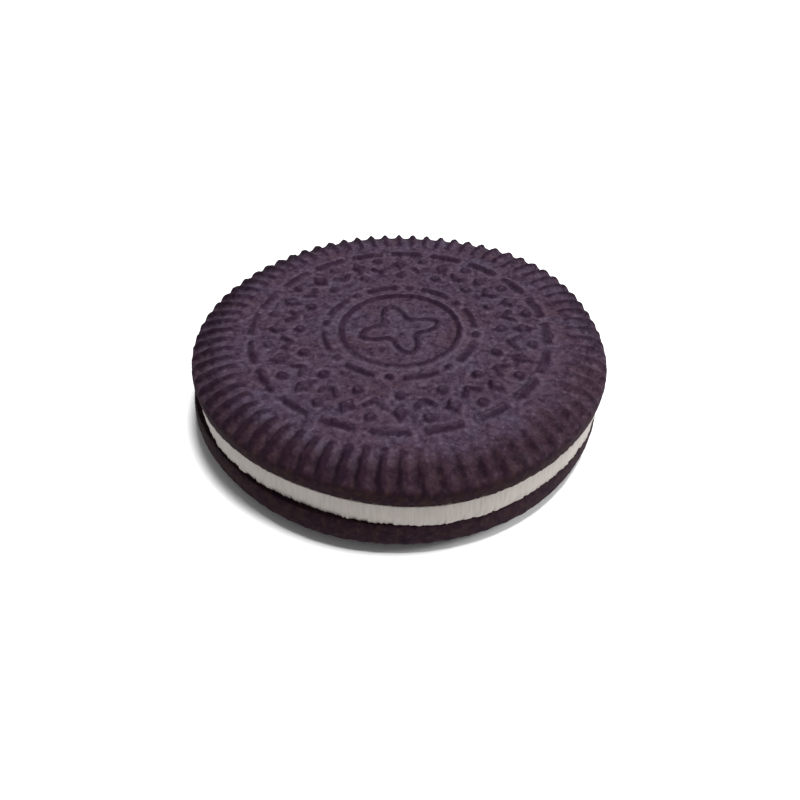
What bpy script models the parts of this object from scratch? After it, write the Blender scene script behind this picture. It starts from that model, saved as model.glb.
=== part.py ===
"""Chocolate sandwich cookie: two embossed cocoa wafers with a layer of white cream between them.

Metres, +Z up, standing on the relief of the lower wafer with the middle of its base at the origin.
Each wafer is modelled face up with its face plane at z = 0; the lower one is then turned over.
"""
import math

import bmesh
import bpy

MM = 0.001

# ---- driving dimensions
WAFER_RADIUS = 22.25 * MM        # over the tips that stand out round the rim
UPPER_THICKNESS = 2.9 * MM       # from the cream side to the face plane
LOWER_THICKNESS = 3.3 * MM       # the lower wafer baked a little thicker
CREAM_LAYER = 2.35 * MM          # between the two wafers
RELIEF = 0.30 * MM               # height of the moulded figures over the face plane
SIDE_LEAN = 0.20 * MM            # how far the figures' sides lean in on the way up
GAP = 0.30 * MM                  # clearance left between touching pieces
WAFER_SLIP = (0.2 * MM, 0.08 * MM)   # the wafers sit this far off centre, in opposite directions
CREAM_SLIP = (0.15 * MM, -0.35 * MM)
CREAM_INSET = 0.6 * MM           # from the wafers' full radius to the cream's side
LOWER_TURN = math.radians(108.0)  # turn of the lower wafer about the upright axis
# the outline is a little out of round: lobes in the round, their height, direction of the first
LOBES = ((3, 0.19 * MM, 54.0), (4, 0.09 * MM, 25.0), (5, 0.08 * MM, 48.0), (6, 0.09 * MM, 43.0))

# ---- ribbed rim: narrow ribs, and dips between them where the rim falls away over the shoulder
RIB_COUNT = 72
RIB_COLUMNS = 3                  # one along each rib and two along the dip beside it
RIB_TURN = math.radians(0.55)    # direction of the first rib
RIB_START = 17.8 * MM            # radius where the ribs begin
RIB_FULL = 18.9 * MM             # radius where they reach full height
RIB_END = (20.3 * MM, 21.2 * MM)  # radii between which they sink into the shoulder
RIB_HEIGHT = 0.22 * MM
SHOULDER_START = 20.6 * MM       # radius where the face begins to roll over
DIP_START = 18.9 * MM            # radius from which the rim falls away between the ribs
DIP_FULL = 21.3 * MM             # radius where it has fallen all the way
UPPER_DIP = 0.65 * MM
LOWER_DIP = 0.13 * MM            # the lower wafer's rim is pressed less deep
DIP_FADE = (0.25 * MM, 1.4 * MM)  # depth under the face where the dips start and finish fading

# ---- rings, bars, star and the ornament band on the face
RING = (6.2 * MM, 6.85 * MM)     # inner and outer radius of the raised ring
BAR_TURN = 15.0                  # degrees from +X to the middle of the first inner bar
INNER_BARS = (8, 7.8 * MM, 8.55 * MM, 26.0)   # how many, inner radius, outer radius, degrees long
INNER_BLOCKS = (8, 7.8 * MM, 8.55 * MM, 6.0)
OUTER_BARS = (20, 15.45 * MM, 16.4 * MM, 14.0)
STAR_ARMS = 4
STAR_TIP = 4.3 * MM
STAR_WAIST = 2.1 * MM
STAR_LINE = 0.55 * MM            # width of the raised line that draws the star
STAR_TURN = 16.0
ORNAMENT_REPEATS = 16
LOZENGE = (13.4 * MM, 1.25 * MM, 0.85 * MM)   # radius of its middle, half length, half width
PELLET_ROWS = ((10.9 * MM, 0.0, 0.65 * MM), (14.3 * MM, 0.5, 0.65 * MM))   # radius, step, size
CHEVRON = (11.4 * MM, 1.0 * MM, 0.65 * MM)   # radius of its point, reach of an arm, thickness


def smoothstep(low, high, value):
    """Ease from 0 at low to 1 at high."""
    t = min(max((value - low) / (high - low), 0.0), 1.0)
    return t * t * (3.0 - 2.0 * t)


def polar(radius, degrees):
    angle = math.radians(degrees)
    return radius * math.cos(angle), radius * math.sin(angle)


def new_material(name, colour, roughness):
    material = bpy.data.materials.new(name)
    material.use_nodes = True
    shader = material.node_tree.nodes["Principled BSDF"]
    shader.inputs["Base Color"].default_value = (*colour, 1.0)
    shader.inputs["Roughness"].default_value = roughness
    shader.inputs["Metallic"].default_value = 0.0
    material.diffuse_color = (*colour, 1.0)
    return material


def evaluated_mesh(obj, name):
    """A plain mesh of the object as its modifiers leave it."""
    graph = bpy.context.evaluated_depsgraph_get()
    mesh = bpy.data.meshes.new_from_object(obj.evaluated_get(graph))
    mesh.name = name
    return mesh


def turned_mesh(name, profile, columns):
    """Screw a profile of (radius, height) points round Z and close its two open ends flat."""
    line = bpy.data.meshes.new(name + "_profile")
    line.from_pydata([(r, 0.0, z) for r, z in profile], [(i, i + 1) for i in range(len(profile) - 1)], [])
    obj = bpy.data.objects.new(name + "_turning", line)
    bpy.context.scene.collection.objects.link(obj)
    screw = obj.modifiers.new("turn", "SCREW")
    screw.axis = "Z"
    screw.angle = 2.0 * math.pi
    screw.steps = columns
    screw.render_steps = columns
    screw.use_merge_vertices = True
    screw.merge_threshold = 0.00001
    mesh = evaluated_mesh(obj, name)
    bpy.data.objects.remove(obj)
    body = bmesh.new()
    body.from_mesh(mesh)
    bmesh.ops.holes_fill(body, edges=[edge for edge in body.edges if edge.is_boundary], sides=0)
    bmesh.ops.recalc_face_normals(body, faces=body.faces)
    body.to_mesh(mesh)
    body.free()
    return mesh


def lobed(radius, angle):
    """A point's radius once the outline's lobes have pushed it out or in; the face stays round."""
    push = sum(height * math.cos(count * (angle - math.radians(peak))) for count, height, peak in LOBES)
    return radius + push * smoothstep(RIB_START, WAFER_RADIUS, radius)


def wafer_profile(thickness):
    """The wafer's edge before it is ribbed: flat rim, rolled shoulder, wall tucked in at the cream."""
    face_sag = -0.06 * MM
    wall_top = -1.35 * MM
    half_way = math.radians(57.0)
    shoulder = (SHOULDER_START + (WAFER_RADIUS - SHOULDER_START) * math.sin(half_way),
                face_sag + (wall_top - face_sag) * (1.0 - math.cos(half_way)))
    return [(RIB_START, 0.0), (RIB_FULL, 0.0), (SHOULDER_START, face_sag), shoulder,
            (WAFER_RADIUS, wall_top), (WAFER_RADIUS - 0.02 * MM, -thickness + 0.55 * MM),
            (WAFER_RADIUS - 0.2 * MM, -thickness)]


def rib_the_rim(mesh, dip_depth):
    """Raise a rib along every third column, sink the others over the shoulder, and add the lobes."""
    for vertex in mesh.vertices:
        x, y, z = vertex.co
        radius, angle = math.hypot(x, y), math.atan2(y, x)
        column = round(angle * RIB_COUNT * RIB_COLUMNS / (2.0 * math.pi))
        angle += RIB_TURN
        roll = math.asin(min(max((radius - SHOULDER_START) / (WAFER_RADIUS - SHOULDER_START), 0.0), 1.0))
        push = 0.0
        if column % RIB_COLUMNS == 0:
            running_out = smoothstep(RIB_END[0], RIB_END[1], radius)
            push += RIB_HEIGHT * smoothstep(RIB_START, RIB_FULL, radius) * (1.0 - running_out)
        else:
            fading = smoothstep(DIP_FADE[0], DIP_FADE[1], -z)
            push -= dip_depth * smoothstep(DIP_START, DIP_FULL, radius) * (1.0 - fading)
        z += push * math.cos(roll)
        radius = lobed(radius, angle) + push * math.sin(roll)
        vertex.co = (radius * math.cos(angle), radius * math.sin(angle), z)


def split_quads(mesh):
    """Split the rim's bent quads along their shorter diagonal, so both sides of a rib match."""
    body = bmesh.new()
    body.from_mesh(mesh)
    quads = [face for face in body.faces if len(face.verts) == 4]
    bmesh.ops.triangulate(body, faces=quads, quad_method="SHORT_EDGE")
    body.to_mesh(mesh)
    body.free()


def arc_bar(inner, outer, middle, length, segments):
    """Outline of a bar bent round the centre: along its outer arc and back along its inner one."""
    start = middle - length / 2.0
    outline = [polar(outer, start + length * i / segments) for i in range(segments + 1)]
    outline += [polar(inner, start + length * i / segments) for i in range(segments, -1, -1)]
    return outline


def circle(radius, segments):
    return [polar(radius, 360.0 * i / segments) for i in range(segments)]


def ring_outlines():
    segments = 40
    return [circle(RING[1], segments), circle(RING[0], segments)[::-1]]


def bar_outlines():
    outlines = []
    for (count, inner, outer, length), segments, step in (
            (INNER_BARS, 3, 0.0), (INNER_BLOCKS, 1, 0.5), (OUTER_BARS, 2, 0.0)):
        for k in range(count):
            middle = BAR_TURN + 360.0 * (k + step) / count
            outlines.append(arc_bar(inner, outer, middle, length, segments))
    return outlines


def star_outlines():
    """A star of round arms drawn by a raised line: the line's outer edge and its inner one."""
    segments = 10 * STAR_ARMS
    middle = []
    for k in range(segments):
        degrees = 360.0 * k / segments
        arm = 0.5 + 0.5 * math.cos(math.radians(STAR_ARMS * (degrees - STAR_TURN)))
        middle.append(polar(STAR_WAIST + (STAR_TIP - STAR_WAIST) * arm ** 1.3, degrees))
    edges = []
    for side in (STAR_LINE / 2.0, -STAR_LINE / 2.0):
        edge = []
        for k, (x, y) in enumerate(middle):
            (x0, y0), (x1, y1) = middle[k - 1], middle[(k + 1) % segments]
            along = math.hypot(x1 - x0, y1 - y0)
            edge.append((x + side * (y1 - y0) / along, y - side * (x1 - x0) / along))
        edges.append(edge)
    return edges


def placed(outline, degrees):
    """Turn an outline drawn along +X to its place round the face."""
    cosine, sine = polar(1.0, degrees)
    return [(x * cosine - y * sine, x * sine + y * cosine) for x, y in outline]


def ornament_outlines():
    """Lozenges with chevrons between them, and a pellet at each end of the two."""
    pitch = 360.0 / ORNAMENT_REPEATS
    middle, half_length, half_width = LOZENGE
    lozenge = [(middle + half_length, 0.0), (middle, half_width),
               (middle - half_length, 0.0), (middle, -half_width)]
    point, reach, thick = CHEVRON
    chevron = [(point, 0.0), (point + reach, -reach), (point + reach + thick, -reach + thick * 0.5),
               (point + thick * 1.5, 0.0), (point + reach + thick, reach - thick * 0.5),
               (point + reach, reach)]
    outlines = []
    for k in range(ORNAMENT_REPEATS):
        outlines.append(placed(lozenge, k * pitch))
        outlines.append(placed(chevron, (k + 0.5) * pitch))
        for radius, step, size in PELLET_ROWS:
            pellet = [(radius + x, y) for x, y in circle(size, 6)]
            outlines.append(placed(pellet, (k + step) * pitch))
    return outlines


def relief_object(name, outlines, collection):
    """Raise outlines over the face plane with sides that lean in, as a mould leaves them."""
    root = 0.06 * MM             # how far the figures are rooted under the face
    rim = 0.02 * MM              # half height of their upright part, all of it inside the root
    curve = bpy.data.curves.new(name, "CURVE")
    curve.dimensions = "2D"
    curve.fill_mode = "BOTH"
    curve.extrude = rim
    curve.bevel_depth = SIDE_LEAN
    curve.bevel_resolution = 0
    curve.offset = -SIDE_LEAN
    for outline in outlines:
        spline = curve.splines.new("POLY")
        spline.points.add(len(outline) - 1)
        for point, (x, y) in zip(spline.points, outline):
            point.co = (x, y, 0.0, 1.0)
        spline.use_cyclic_u = True
    drawn = bpy.data.objects.new(name + "_outline", curve)
    bpy.context.scene.collection.objects.link(drawn)
    mesh = evaluated_mesh(drawn, name)
    bpy.data.objects.remove(drawn)
    steepness = (RELIEF + root) / (rim + SIDE_LEAN)
    for vertex in mesh.vertices:
        vertex.co.z = vertex.co.z * steepness - root
    welded = bmesh.new()
    welded.from_mesh(mesh)
    bmesh.ops.remove_doubles(welded, verts=welded.verts, dist=0.000002)
    bmesh.ops.recalc_face_normals(welded, faces=welded.faces)
    welded.to_mesh(mesh)
    welded.free()
    relief = bpy.data.objects.new(name, mesh)
    collection.objects.link(relief)


def wafer(name, thickness, dip_depth, material, parts):
    """One wafer: a turned and ribbed disc with its figures fused on."""
    mesh = turned_mesh(name, wafer_profile(thickness), RIB_COUNT * RIB_COLUMNS)
    rib_the_rim(mesh, dip_depth)
    split_quads(mesh)
    mesh.materials.append(material)
    obj = bpy.data.objects.new(name, mesh)
    parts.objects.link(obj)
    relief = bpy.data.collections.new(name + "_relief")
    bpy.context.scene.collection.children.link(relief)
    relief_object(name + "_ring", ring_outlines(), relief)
    relief_object(name + "_bars", bar_outlines(), relief)
    relief_object(name + "_star", star_outlines(), relief)
    relief_object(name + "_ornament", ornament_outlines(), relief)
    union = obj.modifiers.new("fuse the relief", "BOOLEAN")
    union.operation = "UNION"
    union.operand_type = "COLLECTION"
    union.collection = relief
    union.solver = "EXACT"
    fused = evaluated_mesh(obj, name)
    obj.modifiers.remove(union)
    obj.data = fused
    for piece in list(relief.objects):
        bpy.data.objects.remove(piece)
    bpy.data.collections.remove(relief)
    fused.shade_smooth()
    fused.set_sharp_from_angle(angle=math.radians(35.0))
    return obj


def cream(name, material, parts):
    """The cream: a disc pressed out almost to the wafers' edge, with a soft, slightly full side."""
    half = CREAM_LAYER / 2.0 - GAP
    edge = WAFER_RADIUS - CREAM_INSET
    profile = [(edge - 0.15 * MM, half), (edge, half * 0.45), (edge, -half * 0.45), (edge - 0.15 * MM, -half)]
    mesh = turned_mesh(name, profile, 96)
    for vertex in mesh.vertices:
        x, y, z = vertex.co
        angle = math.atan2(y, x)
        radius = lobed(math.hypot(x, y), angle)
        vertex.co = (radius * math.cos(angle), radius * math.sin(angle), z)
    mesh.materials.append(material)
    mesh.shade_smooth()
    mesh.set_sharp_from_angle(angle=math.radians(35.0))
    obj = bpy.data.objects.new(name, mesh)
    parts.objects.link(obj)
    return obj


def centre_over_origin(pieces):
    """Slide the pieces together until the middle of their common outline is over the origin."""
    bpy.context.view_layer.update()
    spots = [piece.matrix_world @ vertex.co for piece in pieces for vertex in piece.data.vertices]
    for axis in (0, 1):
        reach = [spot[axis] for spot in spots]
        middle = (min(reach) + max(reach)) / 2.0
        for piece in pieces:
            piece.location[axis] -= middle


def build():
    for obj in list(bpy.data.objects):
        bpy.data.objects.remove(obj)
    parts = bpy.data.collections.new("chocolate_sandwich_cookie")
    bpy.context.scene.collection.children.link(parts)
    cocoa = new_material("cocoa_wafer", (0.075, 0.045, 0.072), 0.8)
    white = new_material("white_cream", (0.62, 0.57, 0.53), 0.6)
    cream_floor = RELIEF + LOWER_THICKNESS
    slip_x, slip_y = WAFER_SLIP

    lower = wafer("wafer_bottom", LOWER_THICKNESS, LOWER_DIP, cocoa, parts)
    lower.rotation_euler = (math.pi, 0.0, LOWER_TURN)
    lower.location = (-slip_x, -slip_y, RELIEF)

    filling = cream("cream_filling", white, parts)
    filling.location = (*CREAM_SLIP, cream_floor + CREAM_LAYER / 2.0)

    upper = wafer("wafer_top", UPPER_THICKNESS, UPPER_DIP, cocoa, parts)
    upper.location = (slip_x, slip_y, cream_floor + CREAM_LAYER + UPPER_THICKNESS)
    centre_over_origin([lower, filling, upper])


build()
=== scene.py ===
import math

import bpy
from mathutils import Matrix, Vector


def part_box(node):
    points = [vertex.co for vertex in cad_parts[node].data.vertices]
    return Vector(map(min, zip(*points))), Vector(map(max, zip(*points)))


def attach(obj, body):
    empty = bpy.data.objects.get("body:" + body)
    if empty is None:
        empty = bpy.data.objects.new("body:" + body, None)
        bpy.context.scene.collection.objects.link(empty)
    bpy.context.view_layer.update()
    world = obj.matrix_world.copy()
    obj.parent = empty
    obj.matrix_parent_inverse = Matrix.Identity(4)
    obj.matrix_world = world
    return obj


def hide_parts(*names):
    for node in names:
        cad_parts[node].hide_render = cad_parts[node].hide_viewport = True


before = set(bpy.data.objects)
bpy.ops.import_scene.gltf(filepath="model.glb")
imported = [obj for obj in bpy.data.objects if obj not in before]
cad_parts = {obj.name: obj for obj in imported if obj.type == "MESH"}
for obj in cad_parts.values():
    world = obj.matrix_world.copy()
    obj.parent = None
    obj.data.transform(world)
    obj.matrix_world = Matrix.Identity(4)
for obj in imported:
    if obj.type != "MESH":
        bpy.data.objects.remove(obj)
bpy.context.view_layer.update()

# ---------------------------------------------------------------- the two cocoa wafers
# Hard, dry cocoa biscuit, pressed in a mould: a ribbed rim, two rings of bars with small figures
# between them, a plain ring and a raised line drawing a star, all softened by a gritty crumb.
# Both wafers come from one Geometry Nodes mould; the lower one is turned over.
MM = 0.001
WAFER_RADIUS = 22.25 * MM        # over the tips that stand out round the rim
LOWER_TURN = math.radians(108.0)
MOULD_CELLS = 300                # cells along each side of the square that is wrapped onto a wafer
# waves round the outline: how many, how high, degrees from +X to the top of the first
LOBES = ((3, 0.19 * MM, 54.0), (4, 0.09 * MM, 25.0), (5, 0.08 * MM, 48.0), (6, 0.09 * MM, 43.0))

# the edge, from the face down to the flat back
SHOULDER_START = 20.6 * MM       # the flat face ends at this radius
SHOULDER_DROP = 1.35 * MM
SHOULDER_ARC = 0.79              # the shoulder's length as a share of its width and drop together
WALL_TUCK = 0.22 * MM            # the wall leans in by this much down to the cream
TUCK_POWER = 2.5                 # above 1, most of that is near the bottom
UNDER_ROWS = 6                   # rows of cells that turn in under the wafer
UNDER_REACH = 4.0 * MM
UNDER_CALM = 0.3                 # by this share of the reach the crumb has died away
CHIPPED_FROM = 0.72              # chips begin this far down the wall, as a share of its height
CHIP_SIZE = 0.5 * MM
CHIP_DEPTH = 0.22 * MM
CHIP_LIFT = 0.4                  # a chip also lifts the edge, by this share of its depth
SEAM = 0.003 * MM                # points nearer to each other than this are joined

# the crumb: how big each kind of lump is, and how far it moves the surface
LUMP_SIZE = 1.3 * MM
LUMP_HEIGHT = 0.12 * MM
GRIT_SIZE = 0.34 * MM
GRIT_HEIGHT = 0.13 * MM
PIT_SIZE = 0.75 * MM
PIT_DEPTH = 0.12 * MM

# the figures
RELIEF = 0.30 * MM
SIDE_LEAN = 0.24 * MM            # how far a figure's side leans in on its way up
FOOT_SPREAD = 0.04 * MM          # how far its foot stands out
WEAR_SIZE = 1.1 * MM             # patches in which the figures are worn down
WANDER_SIZE = 0.9 * MM           # their edges wander in waves of this size
WANDER = 0.42 * MM               # and inside a band this wide
RING = (6.52 * MM, 0.33 * MM)    # radius of the middle of the line, half its width
BAR_TURN = 15.0                  # degrees from +X to the middle of a bar
INNER_BARS = (8, 8.17 * MM, 0.37 * MM, 26.0)   # how many, middle radius, half width, degrees long
INNER_BLOCKS = (8, 8.17 * MM, 0.37 * MM, 6.0)
OUTER_BARS = (20, 15.92 * MM, 0.47 * MM, 14.0)
BAR_ROUNDING = 0.22 * MM
STAR_ARMS = 4
STAR_TIP = 4.3 * MM
STAR_WAIST = 2.1 * MM
STAR_POWER = 1.3                 # above 1, the arms are narrower than the hollows between them
STAR_LINE = 0.28 * MM            # half the width of the raised line
STAR_TURN = 16.0                 # degrees from +X to the tip of an arm
ORNAMENT_REPEATS = 16
LOZENGE = (13.4 * MM, 1.25 * MM, 0.85 * MM)    # radius of its middle, half length, half width
PELLET_ROWS = ((10.9 * MM, 0.0, 0.6 * MM), (14.3 * MM, 0.5, 0.6 * MM))   # radius, step, size
CHEVRON = (11.75 * MM, 1.25 * MM, 0.3 * MM)    # radius of its point, length of an arm, half thickness

# the ribs on the rim, and the dips between them where it falls away over the shoulder
RIB_COUNT = 72
RIB_PHASE = 40.0                 # from +X to the middle of the first rib, in degrees of a rib's pitch
RIB_POWER = 1.6                  # above 1, the ribs are narrower than the dips
RIB_START = 17.8 * MM
RIB_FULL = 18.9 * MM
RIB_END = (20.3 * MM, 21.2 * MM)   # the ribs sink into the shoulder between these radii
RIB_HEIGHT = 0.22 * MM
DIP_START = (18.9 * MM, 21.3 * MM)   # the dips deepen between these distances over the surface
DIP_FADE = (0.25 * MM, 1.4 * MM)   # depth under the face where the dips start and finish fading
UPPER_DIP = 0.70 * MM
LOWER_DIP = 0.08 * MM            # the lower wafer's rim is pressed less deep
FAINT_PRESS = 0.35               # the share of the depth that is missing at the faint ribs

# places round the rim: degrees from +X, then the cosines of the angle away from there at which
# each begins and is full
KEEN_RIBS = (205.0, -0.2, 0.7)   # the ribs' colours are strongest
FAINT_RIBS = (-45.0, 0.50, 0.95)   # they are pressed least deep, and coloured less
PALE_RIBS = (-60.0, 0.80, 0.985)   # their dark colour is weakest
FRONT_SHADE = (-95.0, 0.05, 0.90)    # painted shade: the rim and the side are darkest here, at the front, turned from the light

# where the dark and the dusty colours lie, with painted shade and painted light among them
STRIPE_START = (17.7 * MM, 18.2 * MM)   # the ribs' dark colour sets in between these radii
STRIPE_FADE = (0.65 * MM, 1.70 * MM)   # and fades between these depths under the face
STRIPE_EDGE = 0.42               # how high on a rib it begins, from 0 to 1,
STRIPE_EASE = 0.42               # how much higher it is full,
STRIPE_KEENER = 0.22             # and how much lower all this is on the keen ribs
STRIPE_FAINTER = 0.5             # the share of it that is missing on the faint ribs
STRIPE_PALER = 0.6               # and the share of the rest on the pale ones
RING_DARK = (6.37 * MM, 0.20 * MM, 0.45 * MM)   # radius of its dark line, partly painted shade and partly less dust, and distances where that fades
RING_LIP = (6.92 * MM, 0.10 * MM, 0.36 * MM)    # the same for the lighter line outside it, partly dust and partly painted light
INNER_BAR_SHADE = (8, 8.23 * MM, 0.23 * MM, 25.0)    # painted shade: a dark line along each bar, on its side nearer the camera and turned from the light
OUTER_BAR_SHADE = (20, 15.99 * MM, 0.25 * MM, 13.6)
BAR_SHADE_SHIFT = 0.20 * MM         # the painted shade runs nearer the bar's outer edge at the front, inner at the back
BAR_SHADE_WIDER = 0.3               # and is wider at the back, by this share of the shift
BAR_SHADE_DARK = (-0.06 * MM, 0.16 * MM)
FIGURE_DARK = (-0.10 * MM, 0.18 * MM)  # a figure's dark colour fades from here to here past its edge, the part past the edge painted shade at its foot
FIGURE_WORN = (0.22 * MM, 0.42 * MM)   # well inside a broad figure its top is rubbed lighter,
WORN_LIGHTER = 0.5               # by this share
FIGURE_LIP_IN = (0.10 * MM, 0.26 * MM)   # a dusty lip round each figure comes in at these distances
FIGURE_LIP_OUT = (0.36 * MM, 0.62 * MM)   # and goes out at these
LIP_PATCH_SIZE = 0.7 * MM
BETWEEN_RIBS = 0.3               # the dusty line between two ribs reaches this high up their sides
BETWEEN_LIGHT = 0.5
BAR_DARK = 0.42                  # how dark a bar is all over
LINE_DARK = 0.95
# the creases and the pits are darkened as painted shade
CREASE_DARK = 0.34
PIT_DARK = 0.7
UNEVEN = (0.8 * MM, 0.6)         # the dark colour is patchy: size of the patches, the least that is left
WORN_LINES = (2.2 * MM, 0.64)    # and so are the lines, in larger patches
CREASE_SIZE = 1.5 * MM
CREASE_WIDTH = (0.008, 0.034)    # the noise this near its middle is a crease
CREASE_START = (9.2 * MM, 9.8 * MM)    # the creased band begins and ends between these radii
CREASE_END = (14.7 * MM, 15.2 * MM)
SIDE_FROM = (0.22 * MM, 1.3 * MM)   # depth under the face where the side's colour, bare crust and painted shade, comes in
RIM_SHADE_RADII = (18.0 * MM, 21.0 * MM)   # painted shade: the rim darkens towards its edge between these radii
RIM_SHADE_AMOUNT = (0.04, 0.72)         # how far it darkens all round, and how much further at the front
UPPER_LEAST_SHADE = 0.34               # how far the side's colour, with its painted shade, comes in where that shade is least
LOWER_LEAST_SHADE = 0.88


class Wire:
    """The output of a node. Python's own operators on it add Math nodes to the same tree."""

    def __init__(self, board, socket):
        self.board = board
        self.socket = socket

    def math(self, operation, *others):
        return self.board.math(operation, self, *others)

    def __add__(self, other):
        return self.math("ADD", other)

    def __radd__(self, other):
        return self.math("ADD", other)

    def __sub__(self, other):
        return self.math("SUBTRACT", other)

    def __rsub__(self, other):
        return self.board.math("SUBTRACT", other, self)

    def __mul__(self, other):
        return self.math("MULTIPLY", other)

    def __rmul__(self, other):
        return self.math("MULTIPLY", other)

    def __truediv__(self, other):
        return self.math("DIVIDE", other)

    def __rtruediv__(self, other):
        return self.board.math("DIVIDE", other, self)

    def __pow__(self, other):
        return self.math("POWER", other)

    def __neg__(self):
        return self.math("MULTIPLY", -1.0)

    def __abs__(self):
        return self.math("ABSOLUTE")

    def __lt__(self, other):
        return self.math("LESS_THAN", other)

    def __gt__(self, other):
        return self.math("GREATER_THAN", other)

    def sin(self):
        return self.math("SINE")

    def cos(self):
        return self.math("COSINE")

    def least(self, other):
        return self.math("MINIMUM", other)

    def most(self, other):
        return self.math("MAXIMUM", other)

    def hypot(self, other):
        return (self * self + other * other) ** 0.5

    def wrapped(self, pitch):
        """Distance to the nearest multiple of a pitch."""
        return self.math("WRAP", pitch / 2.0, -pitch / 2.0)

    def eased(self, low, high):
        """A smooth step from 0 at low to 1 at high. Where low is the larger, it runs the other way."""
        ends = {"Value": self, "From Min": low, "From Max": high}
        return self.board.add("ShaderNodeMapRange", {"interpolation_type": "SMOOTHSTEP"}, ends)

    def from_least(self, least):
        """The same rise, but from least up to 1 instead of from 0."""
        return self * (1.0 - least) + least


class Board:
    """A node tree, with one way to add any node to it."""

    def __init__(self, tree):
        self.tree = tree

    def add(self, kind, settings=None, inputs=None, output=0):
        """Add a node: its settings first, then a value or a wire for each named or numbered input."""
        node = self.tree.nodes.new(kind)
        for name, value in (settings or {}).items():
            setattr(node, name, value)
        for key, value in (inputs or {}).items():
            socket = self.find(node.inputs, key)
            for one in value if isinstance(value, list) else [value]:
                if isinstance(one, Wire):
                    self.tree.links.new(one.socket, socket)
                else:
                    socket.default_value = one
        return Wire(self, self.find(node.outputs, output))

    @staticmethod
    def find(sockets, key):
        """A socket by number, or by its identifier, or by its name."""
        if isinstance(key, int):
            return sockets[key]
        for socket in sockets:
            if socket.identifier == key:
                return socket
        return sockets[key]

    def math(self, operation, *values):
        return self.add("ShaderNodeMath", {"operation": operation}, dict(enumerate(values)))

    def parts(self, vector):
        """The three numbers of a vector."""
        split = self.add("ShaderNodeSeparateXYZ", inputs={0: vector}).socket.node
        return [Wire(self, output) for output in split.outputs]

    def vector(self, x, y, z):
        return self.add("ShaderNodeCombineXYZ", inputs={0: x, 1: y, 2: z})

    def noise(self, place, size, seed, detail=2.0, roughness=0.5, output=0):
        """Smooth noise whose lumps are about the given size, from 0 to 1; each seed gives another."""
        inputs = {"Vector": place, "W": seed, "Scale": 1.0 / size, "Detail": detail, "Roughness": roughness}
        return self.add("ShaderNodeTexNoise", {"noise_dimensions": "4D"}, inputs, output)


def lobe_push(angle):
    """How far the outline stands out from a true circle, for it is a little out of round."""
    push = 0.0
    for count, height, peak in LOBES:
        push = push + ((angle - math.radians(peak)) * count).cos() * height
    return push


def bar_distance(angle, radius, bars, step):
    """Distance outside the nearest bar of a ring of bars, with its corners rounded."""
    count, middle, half_width, length = bars
    pitch = 2.0 * math.pi / count
    local = abs((angle - math.radians(BAR_TURN) - pitch * step).wrapped(pitch))
    half_length = math.radians(length / 2.0) * middle
    along = (local * middle - (half_length - BAR_ROUNDING)).most(0.0)
    across = (abs(radius - middle) - (half_width - BAR_ROUNDING)).most(0.0)
    return along.hypot(across) - BAR_ROUNDING


def star_distance(angle, radius):
    """Distance outside the raised line of a star with round arms."""
    turn = (angle - math.radians(STAR_TURN)) * STAR_ARMS
    arm = turn.cos() * 0.5 + 0.5
    line = arm ** STAR_POWER * (STAR_TIP - STAR_WAIST) + STAR_WAIST
    # how steeply the line runs outwards; the small amounts keep clear of 0 in the waist and the middle
    steepest = STAR_POWER / 2.0 * STAR_ARMS * (STAR_TIP - STAR_WAIST)
    slope = turn.sin() * (arm + 0.001) ** (STAR_POWER - 1.0) * steepest / radius.most(MM)
    return abs(radius - line) / (slope * slope + 1.0) ** 0.5 - STAR_LINE


def sector(angle, radius, step):
    """Distance out along, and off to the side of, the nearest of the ornament's spokes."""
    pitch = 2.0 * math.pi / ORNAMENT_REPEATS
    local = (angle - pitch * step).wrapped(pitch)
    return radius * local.cos(), abs(radius * local.sin())


def ornament_distance(angle, radius):
    """Distance outside the nearest figure: lozenges, chevrons between them, and pellets."""
    middle, half_length, half_width = LOZENGE
    out, aside = sector(angle, radius, 0.0)
    nearest = (abs(out - middle) / half_length + aside / half_width - 1.0) * (
        half_length * half_width / math.hypot(half_length, half_width))
    point, arm, half_thick = CHEVRON
    diagonal = math.sqrt(0.5)
    out, aside = sector(angle, radius, 0.5)
    along = ((out - point + aside) * diagonal).most(0.0).least(arm)
    chevron = (out - point - along * diagonal).hypot(aside - along * diagonal) - half_thick
    nearest = nearest.least(chevron)
    for distance, step, size in PELLET_ROWS:
        out, aside = sector(angle, radius, step)
        nearest = nearest.least((out - distance).hypot(aside) - size)
    return nearest


def figure_distances(angle, radius):
    """Distances outside the nearest bar, the nearest other mark, and the ring."""
    bars = bar_distance(angle, radius, INNER_BARS, 0.0)
    bars = bars.least(bar_distance(angle, radius, OUTER_BARS, 0.0))
    marks = star_distance(angle, radius)
    marks = marks.least(bar_distance(angle, radius, INNER_BLOCKS, 0.5))
    marks = marks.least(ornament_distance(angle, radius))
    return bars, marks, abs(radius - RING[0]) - RING[1]


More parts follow.
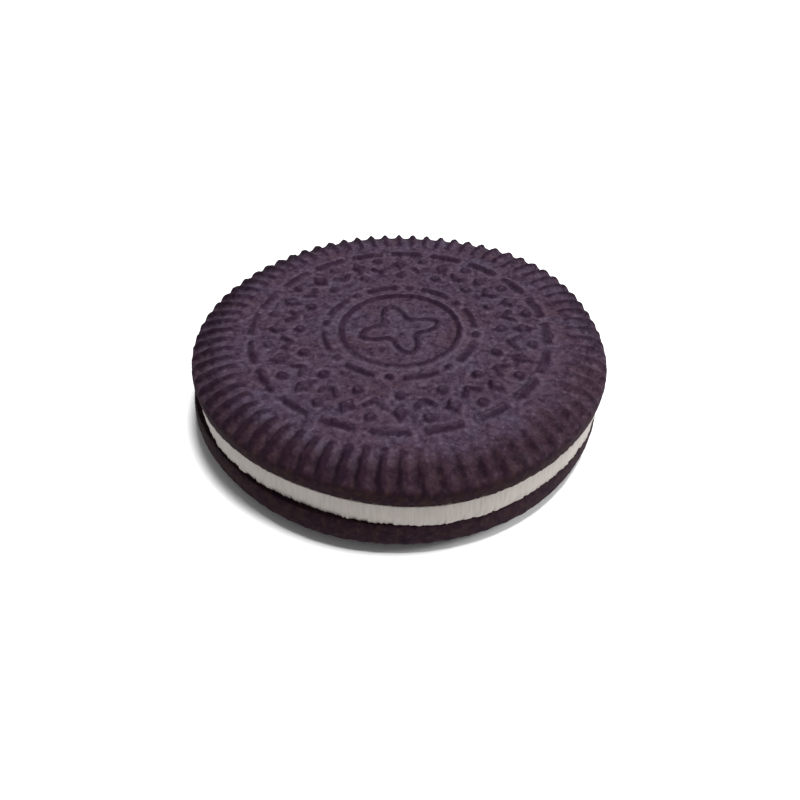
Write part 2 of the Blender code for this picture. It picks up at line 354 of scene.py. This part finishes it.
def figure_colours(angle, radius, bars, marks):
    """How dark the figures are, with painted shade at their feet, how dark their lines are, mostly painted
    shade, and how dusty the lips round them.
    """
    # painted shade along each bar, looked up at a place moved towards the camera
    shift = angle.sin() * BAR_SHADE_SHIFT
    bar_shade = bar_distance(angle, radius + shift, INNER_BAR_SHADE, 0.0)
    bar_shade = bar_shade.least(bar_distance(angle, radius + shift, OUTER_BAR_SHADE, 0.0))
    bar_shade = bar_shade - shift * BAR_SHADE_WIDER
    figure = (1.0 - marks.eased(*FIGURE_DARK)) * (1.0 - (-marks).eased(*FIGURE_WORN) * WORN_LIGHTER)
    figure = figure.most((1.0 - bars.eased(*FIGURE_DARK)) * BAR_DARK)
    # the ring's inner edge is dark, partly as painted shade and partly for less dust
    ring_edge = 1.0 - abs(radius - RING_DARK[0]).eased(*RING_DARK[1:])
    lines = (1.0 - bar_shade.eased(*BAR_SHADE_DARK)).most(ring_edge)
    outside = bars.least(marks)
    lip = outside.eased(*FIGURE_LIP_IN) * (1.0 - outside.eased(*FIGURE_LIP_OUT))
    return figure, lines, lip


def facing(angle, degrees, far, near):
    """1 at one place round the wafer, falling to 0 away from it."""
    return (angle - math.radians(degrees)).cos().eased(far, near)


def geometry_tree(name, labels):
    """A new Geometry Nodes tree: its board, and a wire from each of its named number inputs."""
    tree = bpy.data.node_groups.new(name, "GeometryNodeTree")
    for label in labels:
        tree.interface.new_socket(name=label, in_out="INPUT", socket_type="NodeSocketFloat")
    tree.interface.new_socket(name="Mesh", in_out="OUTPUT", socket_type="NodeSocketGeometry")
    board = Board(tree)
    given = tree.nodes.new("NodeGroupInput")
    return board, [Wire(board, given.outputs[label]) for label in labels]


def finish_tree(board, mesh, material):
    """End a tree with a smooth, real mesh in its material."""
    mesh = board.add("GeometryNodeSetShadeSmooth", inputs={"Geometry": mesh})
    mesh = board.add("GeometryNodeRealizeInstances", inputs={"Geometry": mesh})
    mesh = board.add("GeometryNodeSetMaterial", inputs={"Geometry": mesh, "Material": material})
    board.tree.links.new(mesh.socket, board.tree.nodes.new("NodeGroupOutput").inputs[0])
    return board.tree


def rings_of_cells(board):
    """A square grid, read as rings: the grid, a point's angle, and how far out it is, from 0 to 1."""
    size = {"Size X": 2.0, "Size Y": 2.0, "Vertices X": MOULD_CELLS + 1, "Vertices Y": MOULD_CELLS + 1}
    grid = board.add("GeometryNodeMeshGrid", inputs=size)
    a, b, _ = board.parts(board.add("GeometryNodeInputPosition"))
    steep = abs(b) > abs(a)
    flat_angle = b / a * (math.pi / 4.0) + (a < 0.0) * math.pi
    steep_angle = math.pi / 2.0 - a / b * (math.pi / 4.0) + (b < 0.0) * math.pi
    angle = flat_angle + (steep_angle - flat_angle) * steep
    return grid, angle, abs(a).most(abs(b))


def closed_back(board, mesh, full_radius, thickness):
    """Close the wafer with a flat disc that meets the grid's last ring."""
    size = {"Vertices": 4 * MOULD_CELLS, "Radius": full_radius - WALL_TUCK - UNDER_REACH}
    disc = board.add("GeometryNodeMeshCircle", {"fill_type": "NGON"}, size)
    move = board.vector(0.0, 0.0, -thickness)
    disc = board.add("GeometryNodeTransform", inputs={"Geometry": disc, "Translation": move})
    disc = board.add("GeometryNodeFlipFaces", inputs={"Mesh": disc})
    whole = board.add("GeometryNodeJoinGeometry", inputs={0: [mesh, disc]})
    return board.add("GeometryNodeMergeByDistance", inputs={"Geometry": whole, "Distance": SEAM})


def wafer_mould(material):
    """A Geometry Nodes tree that wraps a square grid onto a whole wafer and raises its figures."""
    board, given = geometry_tree("wafer_mould", ("Radius", "Thickness", "Seed", "Dip", "Least shade"))
    full_radius, thickness, seed, dip_depth, least_shade = given
    mesh, angle, out = rings_of_cells(board)

    # the edge: flat face, rolled shoulder, wall leaning in, and a short way under the wafer
    shoulder_width = full_radius - SHOULDER_START
    shoulder_length = (shoulder_width + SHOULDER_DROP) * SHOULDER_ARC
    wall_height = thickness - SHOULDER_DROP
    under_from = 1.0 - 2.0 * UNDER_ROWS / MOULD_CELLS
    run = (out / under_from).least(1.0) * (shoulder_length + wall_height + SHOULDER_START)
    under = (out - under_from).most(0.0) / (1.0 - under_from)
    roll = ((run - SHOULDER_START) / shoulder_length).most(0.0).least(1.0) * (math.pi / 2.0)
    down_wall = (run - SHOULDER_START - shoulder_length).most(0.0)
    tuck = (down_wall / wall_height) ** TUCK_POWER * WALL_TUCK
    radius = run.least(SHOULDER_START) + shoulder_width * roll.sin() - tuck - under * UNDER_REACH
    height = (roll.cos() - 1.0) * SHOULDER_DROP - down_wall
    radius = radius + lobe_push(angle) * radius.eased(RIB_START, WAFER_RADIUS) * (1.0 - under)

    # the crumb: lumps a millimetre across down to grit, with scattered pits
    x, y = radius * angle.cos(), radius * angle.sin()
    place = board.vector(x, y, height)
    lumps = board.noise(place, LUMP_SIZE, seed) - 0.5
    grit = board.noise(place, GRIT_SIZE, seed + 3.0, roughness=0.65) - 0.5
    pits = board.noise(place, PIT_SIZE, seed + 7.0, detail=1.0).eased(0.66, 0.80)
    crumb = lumps * LUMP_HEIGHT + grit * GRIT_HEIGHT - pits * PIT_DEPTH

    # figures, looked up at a slightly wandering place so that no edge is ruler-straight
    drift = board.noise(place, WANDER_SIZE, seed + 17.0, detail=1.0, output=1)
    drift_x, drift_y, _ = board.parts(drift)
    wandered_x = x + (drift_x - 0.5) * WANDER
    wandered_y = y + (drift_y - 0.5) * WANDER
    figure_radius = wandered_x.hypot(wandered_y)
    figure_angle = wandered_y.math("ARCTAN2", wandered_x)
    bars, marks, ring = figure_distances(figure_angle, figure_radius)
    raised = 1.0 - bars.least(marks).least(ring).eased(-SIDE_LEAN, FOOT_SPREAD)
    wear = board.noise(place, WEAR_SIZE, seed + 11.0).eased(0.22, 0.52)

    # ribs, narrower than the dips between them, and both shallower on one side
    swing = ((figure_angle * RIB_COUNT - math.radians(RIB_PHASE)).cos() * 0.5 + 0.5) ** RIB_POWER
    on_rim = figure_radius.eased(RIB_START, RIB_FULL)
    keen = facing(angle, *KEEN_RIBS)
    faint = facing(angle, *FAINT_RIBS)
    pressed = 1.0 - faint * FAINT_PRESS
    rib = swing * on_rim * (1.0 - figure_radius.eased(*RIB_END)) * pressed
    dip = (1.0 - swing) * run.eased(*DIP_START) * (1.0 - (-height).eased(*DIP_FADE)) * pressed

    # everything is pushed out or in along the wafer's own surface, and the wall's foot is chipped
    push = raised * wear * RELIEF + rib * RIB_HEIGHT - dip * dip_depth + crumb
    push = push * (1.0 - under.eased(0.0, UNDER_CALM))
    chipped = (down_wall / wall_height).eased(CHIPPED_FROM, 1.0) * (1.0 - under)
    chips = board.noise(place, CHIP_SIZE, seed + 23.0).eased(0.45, 0.75) * chipped * CHIP_DEPTH
    moved_radius = radius + push * roll.sin() - chips
    moved_height = (height + push * roll.cos() + chips * CHIP_LIFT).least(RELIEF)
    surface = board.vector(moved_radius * angle.cos(), moved_radius * angle.sin(), moved_height)

    # the dark colour: figures, lines, ribs, pits, and fine creases where the dough has cracked; in the
    # lines, pits and creases and at the figures' feet it is painted shade
    figure, lines, lip = figure_colours(figure_angle, figure_radius, bars, marks)
    stripe_edge = STRIPE_EDGE - keen * STRIPE_KEENER
    stripe = swing.eased(stripe_edge, stripe_edge + STRIPE_EASE) * figure_radius.eased(*STRIPE_START)
    stripe = stripe * (1.0 - (-height).eased(*STRIPE_FADE))
    stripe = stripe * (1.0 - faint * STRIPE_FAINTER) * (1.0 - facing(angle, *PALE_RIBS) * STRIPE_PALER)
    # creases, only in colour: painted shade where the dough has cracked
    creases = board.noise(place, CREASE_SIZE, seed + 41.0, detail=1.0) - 0.5
    creases = 1.0 - abs(creases).eased(*CREASE_WIDTH)
    creases = creases * figure_radius.eased(*CREASE_START) * (1.0 - figure_radius.eased(*CREASE_END))
    uneven = board.noise(place, UNEVEN[0], seed + 29.0).eased(0.30, 0.60).from_least(UNEVEN[1])
    worn_lines = board.noise(place, WORN_LINES[0], seed + 43.0).eased(0.34, 0.60)
    worn_lines = worn_lines.from_least(WORN_LINES[1])
    dark = stripe.most(figure * worn_lines).most(creases * CREASE_DARK) * uneven
    dark = dark.most(lines * worn_lines * LINE_DARK).most(pits * PIT_DARK)

    # the lighter colour: dusty lips round the figures, a line round the ring that is partly dust and partly
    # painted light, and dusty lines between the keen ribs
    lip = lip * board.noise(place, LIP_PATCH_SIZE, seed + 37.0).eased(0.40, 0.62)
    # a lighter line outside the ring, partly dust and partly painted light
    lip = lip.most(1.0 - abs(figure_radius - RING_LIP[0]).eased(*RING_LIP[1:]))
    between = (1.0 - swing.eased(0.0, BETWEEN_RIBS)) * on_rim * (1.0 - (-height).eased(*SIDE_FROM)) * keen
    light = lip.most(between * BETWEEN_LIGHT) * (1.0 - dark)

    # the side: bare crust and painted shade, the shade strongest at the front, turned from the light
    front_shade = facing(angle, *FRONT_SHADE)
    side = (-moved_height).eased(*SIDE_FROM) * front_shade.from_least(least_shade)
    side = side.most(figure_radius.eased(*RIM_SHADE_RADII) * (front_shade * RIM_SHADE_AMOUNT[1] + RIM_SHADE_AMOUNT[0]))

    for name, value in (("dark", dark), ("light", light), ("side", side)):
        inputs = {"Geometry": mesh, "Name": name, "Value": value}
        mesh = board.add("GeometryNodeStoreNamedAttribute", {"data_type": "FLOAT"}, inputs)
    mesh = board.add("GeometryNodeSetPosition", inputs={"Geometry": mesh, "Position": surface})
    return finish_tree(board, closed_back(board, mesh, full_radius, thickness), material)


def new_material(name):
    """A Principled material with nothing set: the material, its board and its shader."""
    material = bpy.data.materials.new(name)
    material.use_nodes = True
    return material, Board(material.node_tree), material.node_tree.nodes["Principled BSDF"]


def set_surface(board, shader, colour, roughness, bumps, strength, depth):
    """Wire a colour, a roughness and a bump to a shader."""
    settings = {"Strength": strength, "Distance": depth, "Height": bumps}
    bump = board.add("ShaderNodeBump", inputs=settings, output="Normal")
    for name, wire in (("Base Color", colour), ("Roughness", roughness), ("Normal", bump)):
        board.tree.links.new(wire.socket, shader.inputs[name])


def blend(board, amount, first, second):
    """One colour fading to another; each is a colour wire or three numbers."""
    colours = [c if isinstance(c, Wire) else (*c, 1.0) for c in (first, second)]
    inputs = {"Factor_Float": amount, "A_Color": colours[0], "B_Color": colours[1]}
    return board.add("ShaderNodeMix", {"data_type": "RGBA"}, inputs, "Result_Color")


def surface_value(board, name):
    """A number that the mould stored on the mesh."""
    return board.add("ShaderNodeAttribute", {"attribute_name": name}, output="Fac")


def baked_cocoa():
    """Dark cocoa biscuit: dusty on top, darker on the figures and down the side, partly as painted shade,
    gritty all over.
    """
    material, board, shader = new_material("baked_cocoa")
    crust = (0.0440, 0.0280, 0.0472)
    warm = (0.0448, 0.0238, 0.0335)
    lilac = (0.0458, 0.0418, 0.0664)
    bare_in_shade = (0.0165, 0.0048, 0.0078)
    toasted_in_shade = (0.0218, 0.0094, 0.0088)
    deep = (0.0082, 0.0019, 0.0074)
    violet = (0.0105, 0.0026, 0.0108)
    dust_and_painted_light = (0.0985, 0.0725, 0.1055)
    place = board.add("ShaderNodeTexCoord", output="Object")
    dark, light, side = [surface_value(board, name) for name in ("dark", "light", "side")]
    patches = board.noise(place, 5.0 * MM, seed=1.0, detail=3.0)
    bloom = board.noise(place, 3.2 * MM, seed=9.0, detail=3.0)
    mottle = board.noise(place, 1.00 * MM, seed=3.0, detail=3.0, roughness=0.6)
    crumbs = board.noise(place, 0.46 * MM, seed=4.0, detail=3.0, roughness=0.6)
    grain = board.noise(place, 0.20 * MM, seed=2.0, detail=3.0, roughness=0.7)

    # the baked crust in warm and lilac patches, and below it the bare side, darker also as painted shade
    colour = blend(board, patches.eased(0.38, 0.66) * 0.7, crust, warm)
    colour = blend(board, bloom.eased(0.55, 0.75) * 0.6, colour, lilac)
    colour = blend(board, side, colour, blend(board, mottle.eased(0.45, 0.65), bare_in_shade, toasted_in_shade))

    # painted shade darkens the crumb's hollows, mottles darken it at random, its crests are dusty, and the
    # pressed figures are darkest of all
    darkest = blend(board, side.eased(0.0, 0.04), violet, deep)
    # the mottles are random tone; the crumbs and the grain are the bumps, so darkening their hollows is
    # painted shade
    hollows = mottle.eased(0.57, 0.36) * 0.46 + crumbs.eased(0.55, 0.36) * 0.38
    hollows = hollows + grain.eased(0.55, 0.35) * 0.14
    crests = crumbs.eased(0.54, 0.70) * 0.36 + grain.eased(0.56, 0.70) * 0.12 + light * 0.26
    colour = blend(board, hollows, colour, darkest)
    colour = blend(board, crests * (1.0 - side * 0.8), colour, dust_and_painted_light)
    colour = blend(board, dark * 0.88, colour, darkest)
    roughness = 0.80 + grain * 0.2
    bumps = crumbs * 0.6 + grain * 0.4
    set_surface(board, shader, colour, roughness, bumps, strength=0.7, depth=0.20 * MM)
    shader.inputs["Specular IOR Level"].default_value = 0.1
    return material


def box_middle(points):
    """The middle, in x and y, of the box round some points."""
    return [(min(p[axis] for p in points) + max(p[axis] for p in points)) / 2.0 for axis in (0, 1)]


def cast(name, tree, values):
    """Run a Geometry Nodes tree with the given inputs, and keep its result as a plain mesh."""
    blank = bpy.data.objects.new(name + "_blank", bpy.data.meshes.new(name + "_blank"))
    bpy.context.scene.collection.objects.link(blank)
    nodes = blank.modifiers.new("mould", "NODES")
    nodes.node_group = tree
    for item in tree.interface.items_tree:
        if item.in_out == "INPUT":
            nodes[item.identifier] = values[item.name]
    graph = bpy.context.evaluated_depsgraph_get()
    mesh = bpy.data.meshes.new_from_object(blank.evaluated_get(graph))
    bpy.data.objects.remove(blank)
    mesh.name = name
    return mesh


def slide_over(mesh, node):
    """How far to move a mesh, in x and y, to bring the middle of its box over its CAD node's."""
    node_middle = box_middle(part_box(node))
    mesh_middle = box_middle([v.co for v in mesh.vertices])
    return [node_middle[axis] - mesh_middle[axis] for axis in (0, 1)]


def pressed_wafer(name, node, mould, turned, values):
    """Press a wafer, turn it, lay it where its CAD node is and let it stand for that.

    Gives back the place of the middle of its face, which is off the middle of its lopsided outline.
    """
    mesh = cast(name, mould, values)
    mesh.transform(turned)
    low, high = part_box(node)
    face_down = turned[2][2] < 0.0
    face_height = low.z + RELIEF if face_down else high.z - RELIEF
    place = Vector((*slide_over(mesh, node), face_height))
    mesh.transform(Matrix.Translation(place))
    wafer = bpy.data.objects.new(name, mesh)
    bpy.context.scene.collection.objects.link(wafer)
    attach(wafer, "root")
    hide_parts(node)
    return place


mould = wafer_mould(baked_cocoa())
top_floor, top_roof = [corner.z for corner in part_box("wafer_top")]
bottom_floor, bottom_roof = [corner.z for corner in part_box("wafer_bottom")]
upper_values = {"Radius": WAFER_RADIUS, "Thickness": top_roof - top_floor - RELIEF, "Seed": 1.0,
                "Dip": UPPER_DIP, "Least shade": UPPER_LEAST_SHADE}
lower_values = {"Radius": WAFER_RADIUS, "Thickness": bottom_roof - bottom_floor - RELIEF, "Seed": 31.0,
                "Dip": LOWER_DIP, "Least shade": LOWER_LEAST_SHADE}
face_up = Matrix.Identity(4)
turned_over = Matrix.Rotation(LOWER_TURN, 4, "Z") @ Matrix.Rotation(math.pi, 4, "X")
face_middle = pressed_wafer("upper_wafer", "wafer_top", mould, face_up, upper_values)
pressed_wafer("lower_wafer", "wafer_bottom", mould, turned_over, lower_values)

# ---------------------------------------------------------------- the cream
# A stiff sugar cream, pressed between the wafers until it nearly reaches their edge. Its side is
# dragged into fine upright streaks, and it clings in small tongues to the edge of the lower wafer.
CREAM_INSET = 0.60 * MM          # from the wafers' full radius to the cream's side
CREAM_BITE = 0.06 * MM           # how far the cream reaches into each wafer's back
CREAM_COLUMNS = 1440
CREAM_ROWS = 26
BULGE = 0.10 * MM
STREAK_SIZE = 0.28 * MM
STREAK_DEPTH = 0.12 * MM
STREAK_SQUASH = 0.12             # heights shrunk to this share draw the noise out into streaks
SHADE_SQUASH = 0.10              # the same for the streaks of colour
WAVE_SIZE = 2.6 * MM
WAVE_DEPTH = 0.16 * MM
WAVE_SQUASH = 0.4
TONGUE_SIZE = 0.42 * MM
TONGUE_DEPTH = 0.65 * MM
TONGUES_FROM = (0.2, 0.9)        # they come in between these, from 0 half way down to 1 at the bottom


def cream_tree(material):
    """A Geometry Nodes tree: a disc whose side is pushed in and out by streaks and tongues."""
    board, given = geometry_tree("cream_layer", ("Radius", "Depth"))
    full_radius, depth = given
    size = {"Vertices": CREAM_COLUMNS, "Side Segments": CREAM_ROWS, "Radius": full_radius, "Depth": depth}
    disc = board.add("GeometryNodeMeshCylinder", {"fill_type": "NGON"}, size)
    x, y, z = board.parts(board.add("GeometryNodeInputPosition"))
    radius = x.hypot(y)
    level = z / depth * 2.0
    bulge = (1.0 - level * level) * BULGE
    drawn = board.vector(x, y, z * STREAK_SQUASH)
    streaks = board.noise(drawn, STREAK_SIZE, seed=2.0, detail=3.0, roughness=0.6) - 0.5
    waves = board.noise(board.vector(x, y, z * WAVE_SQUASH), WAVE_SIZE, seed=5.0) - 0.5
    flat = board.vector(x, y, 0.0)
    tongues = board.noise(flat, TONGUE_SIZE, seed=9.0, detail=3.0, roughness=0.6) - 0.5
    tongues = tongues * (-level).eased(*TONGUES_FROM)
    push = bulge + lobe_push(y.math("ARCTAN2", x))
    push = push + streaks * STREAK_DEPTH + waves * WAVE_DEPTH + tongues * TONGUE_DEPTH
    grown = (radius + push) / radius
    place = board.vector(x * grown, y * grown, z)
    disc = board.add("GeometryNodeSetPosition", inputs={"Geometry": disc, "Position": place})
    return finish_tree(board, disc, material)


def sugar_cream():
    """Matt off-white cream with faint upright streaks and a crumb or two of cocoa."""
    material, board, shader = new_material("sugar_cream")
    white = (0.360, 0.322, 0.298)
    shade = (0.235, 0.212, 0.195)
    crumb = (0.10, 0.07, 0.07)
    place = board.add("ShaderNodeTexCoord", output="Object")
    x, y, z = board.parts(place)
    drawn = board.vector(x, y, z * SHADE_SQUASH)
    streaks = board.noise(drawn, 0.24 * MM, seed=3.0, detail=3.0, roughness=0.6)
    clouds = board.noise(place, 3.0 * MM, seed=6.0)
    specks = board.noise(place, 0.20 * MM, seed=8.0, detail=1.0).eased(0.74, 0.80)
    colour = blend(board, streaks.eased(0.35, 0.75) * 0.5 + clouds * 0.2, white, shade)
    colour = blend(board, specks * 0.5, colour, crumb)
    roughness = 0.5 + clouds * 0.15
    set_surface(board, shader, colour, roughness, streaks, strength=0.3, depth=0.06 * MM)
    return material


cream_floor = bottom_roof - CREAM_BITE
cream_roof = top_floor + CREAM_BITE
cream_values = {"Radius": WAFER_RADIUS - CREAM_INSET, "Depth": cream_roof - cream_floor}
cream_mesh = cast("cream", cream_tree(sugar_cream()), cream_values)
cream_place = (*slide_over(cream_mesh, "cream_filling"), (cream_floor + cream_roof) / 2.0)
cream_mesh.transform(Matrix.Translation(cream_place))
cream = bpy.data.objects.new("cream", cream_mesh)
bpy.context.scene.collection.objects.link(cream)
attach(cream, "root")
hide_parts("cream_filling")

# ---------------------------------------------------------------- table, light and camera
# A pale matt table top, soft light from a panel above and one to the right, and a close camera.
# The top panel hangs a little to the right and back, so the shadow hugs the left and the front.
TABLE_SIZE = 3.0
TABLE_GREYS = ((0.82, 0.82, 0.82), (0.80, 0.80, 0.80))
TOP_PANEL = (0.30, 31.0, (0.24, 0.06, 1.46))     # width, watts, place
RIGHT_PANEL = (0.50, 15.0, (1.20, 0.08, 0.72))
PANELS_FACE = (0.0, 0.0, 0.005)  # the place that both panels are aimed at
ROOM_LIGHT = 0.30
CAMERA_TILT = math.radians(36.34)   # how far it looks down
CAMERA_DISTANCE = 80.0 * MM      # from the middle of the upper wafer's face
LENS = 33.05
SENSOR = 36.0
SHIFT = (-0.0007, -0.0887)
NEAREST_SEEN = 2.0 * MM


def pale_table():
    """A large, pale, matt table top, very faintly mottled."""
    material, board, shader = new_material("pale_table")
    place = board.add("ShaderNodeTexCoord", output="Object")
    colour = blend(board, board.noise(place, 60.0 * MM, seed=1.0), *TABLE_GREYS)
    board.tree.links.new(colour.socket, shader.inputs["Base Color"])
    shader.inputs["Roughness"].default_value = 0.9
    shader.inputs["Specular IOR Level"].default_value = 0.1
    bpy.ops.mesh.primitive_plane_add(size=TABLE_SIZE, location=(0.0, 0.0, 0.0))
    table = bpy.context.object
    table.name = "table_top"
    table.data.materials.append(material)


def panel(name, width, watts, place):
    """A square soft panel that faces the cookie."""
    light = bpy.data.lights.new(name, "AREA")
    light.shape = "SQUARE"
    light.size = width
    light.energy = watts
    lamp = bpy.data.objects.new(name, light)
    lamp.location = place
    lamp.rotation_euler = (Vector(PANELS_FACE) - Vector(place)).to_track_quat("-Z", "Y").to_euler()
    bpy.context.scene.collection.objects.link(lamp)


pale_table()
panel("top_panel", *TOP_PANEL)
panel("right_panel", *RIGHT_PANEL)
world = bpy.data.worlds.new("soft_room")
world.use_nodes = True
background = world.node_tree.nodes["Background"]
background.inputs["Color"].default_value = (1.0, 1.0, 1.0, 1.0)
background.inputs["Strength"].default_value = ROOM_LIGHT
bpy.context.scene.world = world
bpy.context.scene.view_settings.view_transform = "Standard"

camera_data = bpy.data.cameras.new("camera")
camera_data.lens = LENS
camera_data.sensor_width = SENSOR
camera_data.shift_x, camera_data.shift_y = SHIFT
camera_data.clip_start = NEAREST_SEEN
camera = bpy.data.objects.new("camera", camera_data)
towards_camera = Vector((0.0, -math.cos(CAMERA_TILT), math.sin(CAMERA_TILT)))
camera.location = face_middle + towards_camera * CAMERA_DISTANCE
camera.rotation_euler = (math.pi / 2.0 - CAMERA_TILT, 0.0, 0.0)
bpy.context.scene.collection.objects.link(camera)
bpy.context.scene.camera = camera
